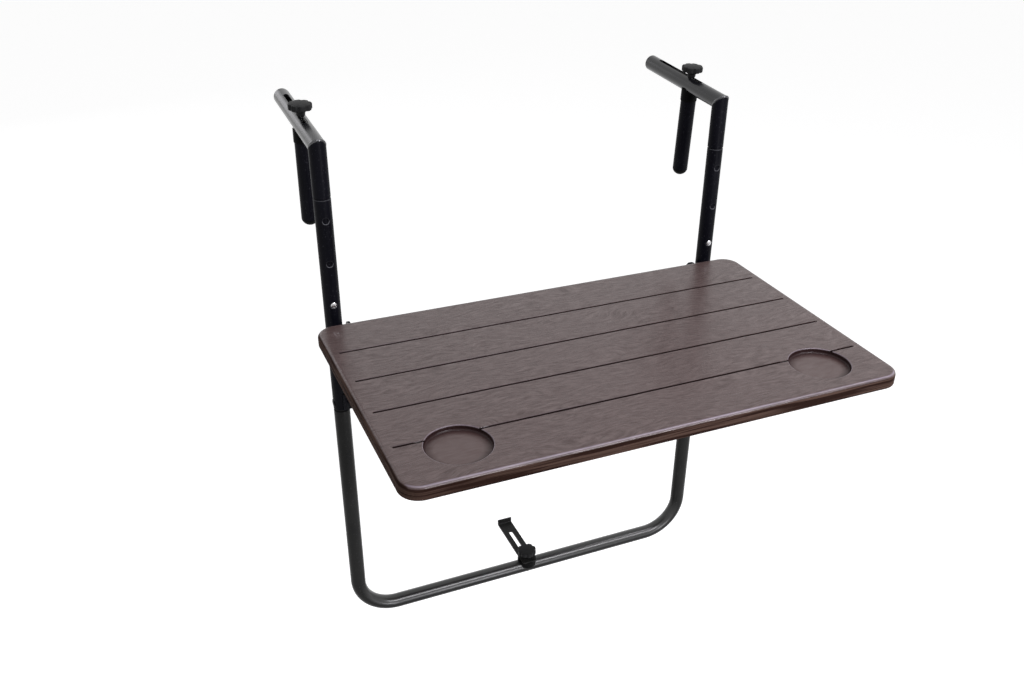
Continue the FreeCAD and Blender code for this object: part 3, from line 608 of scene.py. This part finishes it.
def grain_group():
    """Embossed wood grain along X. A slow noise first bends the lines across the board. Stroke is noise drawn
    out along them, ring a sine across them, pore the deep ends of a shorter noise, and streak a broader
    noise for the board's sides and underside."""
    tree, enter, leave = new_group("wood grain", [("Ring per m", 120.0), ("Bend m", 0.06)],
                                   ["Stroke", "Ring", "Pore", "Streak"])
    place = add_node(tree, "ShaderNodeTexCoord").outputs["Object"]
    sway = noise(tree, stretched(tree, place, (6.5, 17.0, 17.0)), detail=2.0)
    sway = worked(tree, "MULTIPLY", sway, enter.outputs["Bend m"])
    shift = add_node(tree, "ShaderNodeCombineXYZ", {"Y": sway}).outputs[0]
    bent = add_node(tree, "ShaderNodeVectorMath", {0: place, 1: shift}, operation="ADD").outputs[0]
    drawn = stretched(tree, bent, (52.0, 330.0, 330.0))
    stroke = noise(tree, drawn, detail=5.0, Roughness=0.76, Distortion=0.4)
    pore = noise(tree, stretched(tree, bent, (85.0, 800.0, 800.0)), detail=2.0)
    across = add_node(tree, "ShaderNodeSeparateXYZ", {0: bent}).outputs["Y"]
    rings = worked(tree, "MULTIPLY", across, enter.outputs["Ring per m"])
    wave = worked(tree, "SINE", worked(tree, "MULTIPLY", rings, 2 * math.pi))
    streak = noise(tree, stretched(tree, place, (7.0, 16.0, 300.0), (0.0, -30.6, 0.0)), detail=3.0)
    feed(tree, leave, {"Stroke": stroke, "Ring": ranged(tree, wave, -1.0, 1.0),
                       "Pore": ranged(tree, pore, 0.56, 0.72), "Streak": streak})
    return tree


GRAIN = grain_group()


def grained_plastic():
    """Brown moulded skin: browns mixed by strokes, rings, pores and a slow cloud, streaks on the sides and
    underside in browns darkened as painted shade, a painted highlight on the front edge, recess brims and
    plank lines' lips, painted shade in the plank lines and on the recess walls, and a relief of strokes,
    rings, pores and the skin."""
    material, tree = new_material("grained plastic")
    grain = add_node(tree, "ShaderNodeGroup", node_tree=GRAIN)
    skin = add_node(tree, "ShaderNodeGroup", node_tree=COAT_SKIN,
                    sockets={"Fine per m": 1600.0, "Coarse per m": 500.0, "Cloud per m": 7.0})
    stroke, streak = grain.outputs["Stroke"], grain.outputs["Streak"]
    pores = worked(tree, "MULTIPLY", grain.outputs["Pore"], 0.60)
    rings = worked(tree, "MULTIPLY", grain.outputs["Ring"], 0.05)
    clouds = ranged(tree, skin.outputs["Cloud"], *CLOUD_RANGE, 0.0, 0.35)
    smooth, dull = mask(tree, "smooth"), mask(tree, "dull")
    board = blended(tree, ranged(tree, stroke, 0.38, 0.62), *STROKE_BROWNS)
    board = blended(tree, rings, board, RING_BROWN)
    board = blended(tree, clouds, board, CLOUD_BROWN)
    board = blended(tree, pores, board, PORE_BROWN)
    board = blended(tree, worked(tree, "MULTIPLY", smooth, 0.85), board, CUP_BROWN)
    # Sides and underside: the board's own streaks, in browns darkened as painted shade.
    edge = blended(tree, ranged(tree, streak, 0.42, 0.58), *SHADED_SIDE_BROWNS)
    colour = blended(tree, mask(tree, "side"), board, edge)
    # Painted highlight: the rim mask lays the pale lavender, broken up by the streaks.
    painted_highlight = worked(tree, "MULTIPLY", mask(tree, "rim"), ranged(tree, streak, 0.3, 0.7, 0.45, 1.0))
    colour = blended(tree, painted_highlight, colour, PAINTED_EDGE_HIGHLIGHT)
    # Painted shade on the recess walls and on the recess floor next to their foot.
    colour = blended(tree, mask(tree, "wall"), colour, PAINTED_WALL_SHADE)
    # Painted shade: the plank lines darkened almost to black.
    colour = blended(tree, mask(tree, "line"), colour, PAINTED_LINE_SHADE)
    rough = add_node(tree, "ShaderNodeMix", {"Factor": dull, "A": ranged(tree, stroke, 0.3, 0.7, 0.50, 0.40),
                                             "B": 1.0}).outputs["Result"]
    gloss = worked(tree, "MULTIPLY", worked(tree, "SUBTRACT", 1.0, dull),
                   ranged(tree, stroke, 0.36, 0.64, 0.42, 0.86))
    height = worked(tree, "ADD", stroke, worked(tree, "MULTIPLY", skin.outputs["Relief"], 0.5))
    height = worked(tree, "ADD", worked(tree, "SUBTRACT", height, pores), rings)
    height = worked(tree, "MULTIPLY", height, worked(tree, "SUBTRACT", 1.0, smooth))
    bump = add_node(tree, "ShaderNodeBump", {"Height": height, "Strength": 1.0, "Distance": 0.32 * MM})
    feed(tree, tree.nodes["Principled BSDF"], {
        "Base Color": colour, "Roughness": rough, "Coat Weight": gloss, "Coat Roughness": 0.26,
        "Normal": bump.outputs["Normal"], "Specular IOR Level": 0.12})
    return material


board = mesh_piece("tabletop", *tabletop(), grained_plastic(), "table", ["tabletop"], "top_plastic",
                   sharp=60.0)
x, y, z = corners_of(board)
in_cup = np.hypot(np.abs(x) - CUP_X, y - CUP_Y)
past_cup = in_cup > CUP_R + 2
depth = TOP_Z - z
turn = np.degrees(np.arccos(np.clip(1 - depth / EDGE_R, -1, 1)))     # how far round the rounded edge
# Painted highlight along the front edge's rounding, centred about 30 degrees round it.
front = np.clip((TOP_FRONT + CORNER_R * 0.6 - y) / 6.0, 0, 1) * (depth < EDGE_R)
front *= np.clip(1 - np.abs(turn - 30) / 17, 0, 1)
# Painted highlight along the back lip of each plank line, strongest at the left and gone past x = 150.
lip = sum(np.clip(1 - np.abs(y - line - LINE_WIDE - 0.15) / 0.35, 0, 1) for line in LINES)
lip = 0.30 * lip * (np.abs(x) < LINE_HALF) * np.clip(0.5 - x / 300, 0, 1) * past_cup
# Painted highlight round the brim of each recess.
brim = 0.5 * (np.abs(in_cup - CUP_R - 0.5) < 0.6) * (depth > 0.05) * (depth < 0.95)
# The recess's painted shade reaches this far in, past the foot of its wall.
foot = CUP_R - CUP_FOOT - 1.6
# Depth below the top where the sides' painted shade begins: 0.5 mm on the ends, 2.1 mm on the front and back.
side_shade_from = np.where(np.abs(x) > TOP_X - EDGE_R - 1, 0.5, 2.1)        # where the dark edge starts
in_line = np.clip((sunk(x, y) / LINE_DEEP - 0.1) / 0.25, 0, 1)
# Painted shade on the sides and underside, below that depth.
masks = {"side": np.clip(depth - side_shade_from, 0, 1) * past_cup,
         # Painted highlight mask: front edge, plank lines' lips and recess brims.
         "rim": np.maximum(np.maximum(front, lip), brim),
         # Painted shade on the recess walls and the floor by their foot.
         "wall": np.clip(depth - 0.7, 0, 1) * np.clip((in_cup - foot) / 2.2, 0, 1) * (in_cup < CUP_R + 2),
         "smooth": 1.0 * (in_cup < CUP_R) * (depth > 1.0),
         # Painted shade in the plank lines.
         "line": in_line * (depth < LINE_DEEP + 0.1) * (in_cup > CUP_R)}
masks["dull"] = np.maximum(masks["side"], np.maximum(masks["line"], 0.6 * masks["wall"]))
for name, values in masks.items():
    mark(board, name, values)


# ---- Brackets and screws ----------------------------------------------------------------------
# Folded 3 mm steel angles screwed under the top, satin black, each with a pivot ear and a
# curved slot for the stay's pin. The screws are zinc-plated pan heads.

SCREW_X, SCREW_STEPS = 249.4, (40.0, 165.0, 290.0)       # the steps run forwards from the fold's axis
SCREW_DEEP, BRACKET_T = 10.5, 3.0

dress(BLACK_COAT, "bracket_left", "bracket_right")

screws = [headed_pin((x, TUBE_Y - step, UNDER_Z + SCREW_DEEP), (0, 0, -1), shank_r=2.0,
                     length=SCREW_DEEP + BRACKET_T, head_r=4.0, head_rise=2.1, head_flat=0.3)
          for x in (SCREW_X, -SCREW_X) for step in SCREW_STEPS]
make_piece("bracket_screws", screws, ZINC, "table", ["bracket_screws"], "plated_steel")


# ---- Stays ------------------------------------------------------------------------------------
# Flat 20 by 3 mm steel bars with round ends, satin black. A headed pin at each upper end runs
# in the bracket's curved slot as the top folds.

STAY_REACH = 145.0               # from the fold's axis forwards to the pin
PIN_R, PIN_LENGTH, PIN_HEAD_R, PIN_HEAD_T = 4.0, 7.8, 7.0, 1.6

dress(BLACK_COAT, "stay_left", "stay_right")

for side, label in SIDES:
    place = (side * (WEB_INNER - 0.1), TUBE_Y - STAY_REACH, PIVOT_Z)
    shank = turned_shell([(0, 0), (PIN_R, 0), (PIN_R, PIN_LENGTH - 0.1), (PIN_R - 0.4, PIN_LENGTH),
                          (0, PIN_LENGTH)], place, (side, 0, 0))
    head = turned_shell([(0, 0), (PIN_HEAD_R, 0), (PIN_HEAD_R, PIN_HEAD_T)]
                        + dome_profile(PIN_HEAD_R, 0.9, PIN_HEAD_T), place, (-side, 0, 0))
    make_piece("stay_pin_" + label, [shank, head], ZINC, "stay_arm_" + label, ["stay_pin_" + label],
               "plated_steel")


# ---- Posts and snap buttons -------------------------------------------------------------------
# A thinner black tube is fixed in each hook's leg and slides in the upright. A bright round
# button on a bent spring leaf clicks out through one of the three holes.

dress(BLACK_COAT, "inner_post_left", "inner_post_right")

BUTTON_R, BUTTON_PROUD, BUTTON_DEEP = 3.7, 0.9, 2.9
LEAF_T, LEAF_W, LEAF_DROP = 0.8, 7.0, 17.0
LEAF_BACK_TOP, LEAF_FRONT_TOP = 7.0, 2.0     # above the button's middle
LEAF_REACH = 7.17                # from the post's axis to the leaf's outer faces


def snap_button(axis_x):
    """Domed button turned about Y, and the leaf as a U-shaped line given thickness and width."""
    flank = [(0, -BUTTON_DEEP), (BUTTON_R, -BUTTON_DEEP), (BUTTON_R, -0.2)]
    button = turned_shell(flank + dome_profile(BUTTON_R, BUTTON_PROUD),
                          (axis_x, TUBE_Y - TUBE_R, HOLE_LOW), (0, -1, 0))
    arc = np.linspace(0, math.pi, 13)
    bend = np.stack([-np.cos(arc), -np.sin(arc)], 1)
    line = np.vstack([(-LEAF_REACH, LEAF_BACK_TOP), LEAF_REACH * bend - (0, LEAF_DROP),
                      (LEAF_REACH, LEAF_FRONT_TOP)])
    out = np.vstack([(-1.0, 0.0), bend, (1.0, 0.0)])
    corners = [(-LEAF_W / 2, 0), (LEAF_W / 2, 0), (LEAF_W / 2, -LEAF_T), (-LEAF_W / 2, -LEAF_T)]
    leaf = np.stack([np.column_stack([np.full(len(line), axis_x + w), line + t * out + (TUBE_Y, HOLE_LOW)])
                     for w, t in corners], axis=1)
    ends = [np.stack([leaf[k, [0, 1]], leaf[k, [3, 2]]]) for k in (0, -1)]
    return [button, (leaf, False, True)] + [(end, False, False) for end in ends]


for side, label in SIDES:
    spring = make_piece("snap_button_" + label, snap_button(side * HALF_SPAN), ZINC, None,
                        ["snap_button_" + label], "plated_steel")
    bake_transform(spring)


# ---- Hooks ------------------------------------------------------------------------------------
# Leg and slotted arm are 22 mm tube, mitred and welded at the corner, black. The arm's coat is a lit copy of
# the leg's, lighter and glossier, painted to stand for the light the arms catch. A domed plastic plug closes
# the arm's free end. The arm rises 3.2 degrees towards it.

ARM_TILT = math.radians(3.2)
ARM_Z = TUBE_R / math.cos(ARM_TILT) - TUBE_R * math.tan(ARM_TILT)
ARM_REACH, CAP_DOME, CAP_SPIGOT = 199.0, 5.0, 19.0
SPIGOT_R = 9.4                   # a plug's spigot stands in a tube's bore
BEAD_R, BEAD_WIDE = 1.15, 1.5    # the weld is this many times as wide as high

# Painted light: a lit copy of the black coat for the arms, with a lighter base and more gloss.
LIT_ARM_COAT = coated("lit black powder coat", (0.0060, 0.0060, 0.0075), (0.0095, 0.0095, 0.0115),
                  dust=(0.05, 0.05, 0.06), rough=(0.18, 0.25), shine=0.4, relief=0.02)
CAP_PLASTIC = coated("glossier black plastic", (0.0060, 0.0060, 0.0070), (0.0090, 0.0090, 0.0105),
                     dust=(0.05, 0.05, 0.05), rough=(0.24, 0.32), shine=0.5, relief=0.02)
WELD_COAT = coated("coated weld", (0.0075, 0.0075, 0.0110), (0.0125, 0.0125, 0.0175),
                   dust=(0.05, 0.05, 0.06), rough=(0.10, 0.16), shine=0.9, relief=0.02)

dress(BLACK_COAT, "hook_leg_left", "hook_leg_right")
dress(LIT_ARM_COAT, "hook_arm_left", "hook_arm_right")


def in_hook(grid, side):
    """Points given with the arm along +Y from the corner, leant by the tilt and set on that side's leg."""
    x, y, z = grid[..., 0], grid[..., 1], grid[..., 2]
    c, s = math.cos(ARM_TILT), math.sin(ARM_TILT)
    return np.stack([side * (HALF_SPAN + x), TUBE_Y + y * c - z * s, ARM_Z + y * s + z * c], axis=-1)


def hooked(shells, side):
    """A list of shells moved the same way."""
    return [(in_hook(grid, side), wrap_rows, wrap_cols) for grid, wrap_rows, wrap_cols in shells]


def corner_weld(side):
    """Bead round the mitre: a small circle carried round the ellipse where leg and arm meet, its radius
    varied by a slow ripple."""
    turn = np.linspace(0, 2 * math.pi, 96, endpoint=False)
    lean = math.cos(ARM_TILT) / (1 + math.sin(ARM_TILT))
    mid_wall = (TUBE_R + BORE_R) / 2
    centre = np.stack([side * HALF_SPAN + mid_wall * np.cos(turn), TUBE_Y + mid_wall * np.sin(turn),
                       ARM_Z - mid_wall * np.sin(turn) * lean], 1)
    out = np.stack([np.cos(turn), np.sin(turn) / 2, -np.sin(turn) * lean / 2], 1)
    along = np.roll(centre, -1, 0) - np.roll(centre, 1, 0)
    along /= np.linalg.norm(along, axis=1, keepdims=True)
    out -= along * np.sum(out * along, axis=1, keepdims=True)
    out /= np.linalg.norm(out, axis=1, keepdims=True)
    beside = np.cross(along, out)
    ring = np.linspace(0, 2 * math.pi, 10, endpoint=False)
    bead = BEAD_R + 0.06 * np.sin(turn * 31) + 0.05 * np.sin(turn * 17 + 1.0)
    grid = (centre[:, None] + (bead[:, None] * np.cos(ring))[..., None] * out[:, None]
            + (BEAD_WIDE * bead[:, None] * np.sin(ring))[..., None] * beside[:, None])
    return [(grid, True, True)]


def spigot(end):
    """Half section of a plug's spigot, from the middle of its eased end, at that height, to its foot at 0."""
    ease = math.copysign(0.6, end)
    return [(0, end), (SPIGOT_R - 0.3, end), (SPIGOT_R, end - ease), (SPIGOT_R, 0)]


for side, label in SIDES:
    make_piece("corner_weld_" + label, corner_weld(side), WELD_COAT, "hook_" + label, [], "black_steel",
               sharp=80.0)
    profile = spigot(-CAP_SPIGOT) + [(TUBE_R - 0.3, 0)] + dome_profile(TUBE_R - 0.02, CAP_DOME, 0.1)
    cap = turned_shell(profile, (0, ARM_REACH - CAP_DOME - 0.1, 0), (0, 1, 0), 64)
    make_piece("arm_cap_" + label, hooked([cap], side), CAP_PLASTIC, "hook_" + label, ["arm_cap_" + label],
               "black_plastic")


# ---- Rail clamps ------------------------------------------------------------------------------
# A peg of 22 mm tube hangs under each arm. Its plastic cap is hollowed to the arm's underside,
# a bolt runs from the cap through the slot into a star knob, and a round nose closes the tube.

PEG_PLACE, PEG_LENGTH = 80.0, 104.0
SADDLE_BELOW, SPIGOT, NOSE_RISE, CLAMP_BOLT = 11.0, 12.0, 9.0, 45.8
KNOB_R, KNOB_LOBES, KNOB_STEM_R, KNOB_STEM_H, KNOB_FLANK, KNOB_CROWN = 15.0, 8, 6.5, 8.0, 7.4, 1.0
KNOB_LIFT = 0.3
FLUTE_R, FLUTE_OUT = 2.8, 1.1    # a flute's middle lies this far outside the rim

PLASTIC_SKIN = {"Fine per m": 1500.0, "Coarse per m": 420.0, "Cloud per m": 40.0}
BLACK_PLASTIC = coated("black plastic", (0.0100, 0.0100, 0.0105), (0.0150, 0.0150, 0.0155),
                       dust=(0.06, 0.06, 0.06), rough=(0.40, 0.50), shine=0.07, relief=0.04, skin=PLASTIC_SKIN)
# Painted shade: a darker copy of the black plastic for the saddles under the arms and the strip and for the
# pegs' noses.
SHADED_PLASTIC = coated("shaded black plastic", (0.0030, 0.0030, 0.0032), (0.0050, 0.0050, 0.0054),
                      dust=(0.03, 0.03, 0.03), rough=(0.40, 0.52), shine=0.03, relief=0.03, skin=PLASTIC_SKIN)

dress(SHADED_PLASTIC, "saddle_cap_left", "saddle_cap_right")
dress(BLACK_COAT, "peg_left", "peg_right")


def knob_outline(turn):
    """Radius of the lobed rim at each turn: the circle, cut by a round flute between every two lobes,
    and eased by a running mean."""
    pitch = 2 * math.pi / KNOB_LOBES
    off = (turn + pitch / 2) % pitch - pitch / 2
    off = pitch / 2 - np.abs(off)                        # turn from the nearest flute's middle
    flute_at = KNOB_R + FLUTE_OUT
    under = FLUTE_R ** 2 - (flute_at * np.sin(off)) ** 2
    cut = np.where(under > 0, flute_at * np.cos(off) - np.sqrt(np.maximum(under, 0)), KNOB_R)
    radius = np.minimum(cut, KNOB_R)
    for _ in range(2):
        radius = (np.roll(radius, 1) + radius + np.roll(radius, -1)) / 3
    return radius


def star_knob(place):
    """Knob on a grid of turn and profile: each profile point is a share of the rim's radius, taken from the
    round circle near the middle and from the lobed outline near the rim, at its own height."""
    turn = np.linspace(0, 2 * math.pi, 192, endpoint=False)
    lobed = knob_outline(turn) / KNOB_R
    high = KNOB_STEM_H + KNOB_FLANK
    stem = KNOB_STEM_R / KNOB_R
    profile = [(0.0, 0.0), (stem * 0.80, 0.0), (stem * 0.85, 0.4), (stem * 0.90, 3.0), (stem * 0.99, 5.6),
               (stem * 1.10, 7.3), (stem * 1.14, KNOB_STEM_H), (0.62, KNOB_STEM_H), (0.90, KNOB_STEM_H),
               (0.965, 8.15), (0.99, 8.6), (1.0, 9.3), (1.0, 11.0), (1.0, high - 1.3)]
    profile += [(1.0 - 0.075 * (1 - math.cos(a)), high - 1.3 + 1.2 * math.sin(a))
                for a in np.linspace(0, math.pi / 2, 6)[1:]]
    profile += [(s, high - 0.1 + KNOB_CROWN * (1 - (s / 0.925) ** 2))
                for s in (0.86, 0.74, 0.6, 0.45, 0.3, 0.15, 0.0)]
    share, rise = np.array(profile).T
    weight = np.clip((share - 0.55) / 0.37, 0, 1)
    weight = weight * weight * (3 - 2 * weight)
    radius = KNOB_R * share[:, None] * (1 + weight[:, None] * (lobed[None] - 1))
    grid = np.stack([place[0] + radius * np.cos(turn), place[1] + radius * np.sin(turn),
                     np.broadcast_to(place[2] + rise[:, None], radius.shape)], axis=-1)
    return grid, False, True


for side, label in SIDES:
    low = -TUBE_R - SADDLE_BELOW - PEG_LENGTH
    nose = spigot(SPIGOT) + [(TUBE_R - 0.35, 0), (TUBE_R - 0.05, -0.3)]
    nose += [(r * 0.995, -0.5 - h * 0.94) for r, h in dome_profile(TUBE_R, NOSE_RISE, 0.0, 12)]
    plug = turned_shell(nose, (0, PEG_PLACE, low), (0, 0, 1), 64)
    make_piece("peg_plug_" + label, hooked([plug], side), SHADED_PLASTIC, "clamp_" + label,
               ["peg_plug_" + label], "black_plastic")
    seat = -TUBE_R - SADDLE_BELOW - SPIGOT
    bolt = turned_shell([(0, -4.0), (4.6, -4.0), (5.0, -3.6), (5.0, 0), (3.0, 0), (3.0, CLAMP_BOLT - 0.5),
                         (2.6, CLAMP_BOLT), (0, CLAMP_BOLT)], (0, PEG_PLACE, seat), (0, 0, 1))
    make_piece("clamp_bolt_" + label, hooked([bolt], side), ZINC, "clamp_" + label, ["clamp_bolt_" + label],
               "plated_steel")
    knob = star_knob((0, PEG_PLACE, TUBE_R + KNOB_LIFT))
    make_piece("clamp_knob_" + label, hooked([knob], side), BLACK_PLASTIC, "knob_" + label,
               ["clamp_knob_" + label], "black_plastic", sharp=38.0)


# ---- Rear clip --------------------------------------------------------------------------------
# A slotted steel strip with an upturned lip sits on a plastic saddle over the bottom bar. A
# stud from under the bar and a star knob hold it, and it slides to grip a baluster.

SADDLE_T, SEAT_GAP, STRIP_T = 3.0, 0.1, 2.5
CLIP_Z = BAR_AXIS + TUBE_R + SADDLE_T + SEAT_GAP
KNOB_Z = CLIP_Z + STRIP_T + KNOB_LIFT
STUD_TOP = KNOB_Z + 11.5         # the stud's end, hidden in the knob

dress(SHADED_PLASTIC, "clip_saddle")
dress(GREY_COAT, "clip_strip")
make_piece("clip_knob", [star_knob((0, TUBE_Y, KNOB_Z))], BLACK_PLASTIC, "clip_knob_body", ["clip_knob"],
           "black_plastic", sharp=38.0)
stud = headed_pin((0, TUBE_Y, STUD_TOP), (0, 0, -1), shank_r=3.0, length=STUD_TOP - (BAR_AXIS - TUBE_R),
                  head_r=5.0, head_rise=2.2)
make_piece("clip_bolt", [stud], ZINC, "frame", ["clip_bolt"], "plated_steel")


# ---- Studio -----------------------------------------------------------------------------------
# A pale floor at the height a balcony's would be, a white surround and large soft lamps.

FLOOR_Z, FLOOR_HALF, FLOOR_GLOW = -1.05, 30.0, 0.72
SKY_ON_OBJECT = 0.38             # the surround's strength as light, where what is seen of it has 1
LAMP_TINT = (0.96, 0.95, 1.0)


def seen_ray(tree):
    """One for what the camera sees, straight on, in a gloss or through glass, and zero for light that falls
    on the object: the largest of the three ray kinds."""
    ray = add_node(tree, "ShaderNodeLightPath").outputs
    seen = worked(tree, "MAXIMUM", ray["Is Camera Ray"], ray["Is Glossy Ray"])
    return worked(tree, "MAXIMUM", seen, ray["Is Transmission Ray"])


def floor_sheet():
    """One square of pale floor, big enough to fill any view."""
    mesh = bpy.data.meshes.new("floor")
    corners = [(x * FLOOR_HALF, y * FLOOR_HALF, FLOOR_Z) for x, y in ((-1, -1), (1, -1), (1, 1), (-1, 1))]
    mesh.from_pydata(corners, [], [(0, 1, 2, 3)])
    sheet = bpy.data.objects.new("floor", mesh)
    bpy.context.collection.objects.link(sheet)
    material, tree = new_material("pale floor")
    glow = worked(tree, "MULTIPLY", seen_ray(tree), FLOOR_GLOW)
    feed(tree, tree.nodes["Principled BSDF"], {
        "Base Color": (0.60, 0.60, 0.60, 1), "Roughness": 0.9, "Specular IOR Level": 0.1,
        "Emission Color": (1, 1, 1, 1), "Emission Strength": glow})
    mesh.materials.append(material)


floor_sheet()

world = bpy.data.worlds.new("surround")
bpy.context.scene.world = world
world.use_nodes = True
sky = world.node_tree
feed(sky, sky.nodes["Background"], {"Color": (1, 1, 1, 1),
                                    "Strength": ranged(sky, seen_ray(sky), 0.0, 1.0, SKY_ON_OBJECT, 1.0)})


def soft_lamp(name, place, target, size, power):
    """A flat lamp of a given width and depth at place that faces target, its width level and towards +X."""
    light = bpy.data.lights.new(name, "AREA")
    light.shape = "RECTANGLE"
    light.size, light.size_y = size
    light.energy = power
    light.color = LAMP_TINT
    lamp = bpy.data.objects.new(name, light)
    bpy.context.collection.objects.link(lamp)
    back = np.asarray(place, float) - np.asarray(target, float)
    back /= np.linalg.norm(back)
    beside = np.array([1.0, 0.0, 0.0]) - back * back[0]
    beside /= np.linalg.norm(beside)
    lamp.matrix_world = Matrix.Translation(place) @ Matrix(
        np.stack([beside, np.cross(back, beside), back], axis=1).tolist()).to_4x4()


soft_lamp("over", (0.65, -0.76, 1.55), (0.65, -0.45, -0.25), (2.4, 0.13), 26.0)
soft_lamp("front", (0.60, -1.72, 0.68), (0.0, -0.1, -0.4), (1.3, 0.15), 28.0)
soft_lamp("low front", (0.45, -2.0, -0.80), (0.0, 0.0, -0.2), (0.30, 0.5), 8.0)
soft_lamp("back left", (-1.2, 3.9, 0.7), (-0.28, 0.1, 0.0), (1.1, 1.4), 8.0)
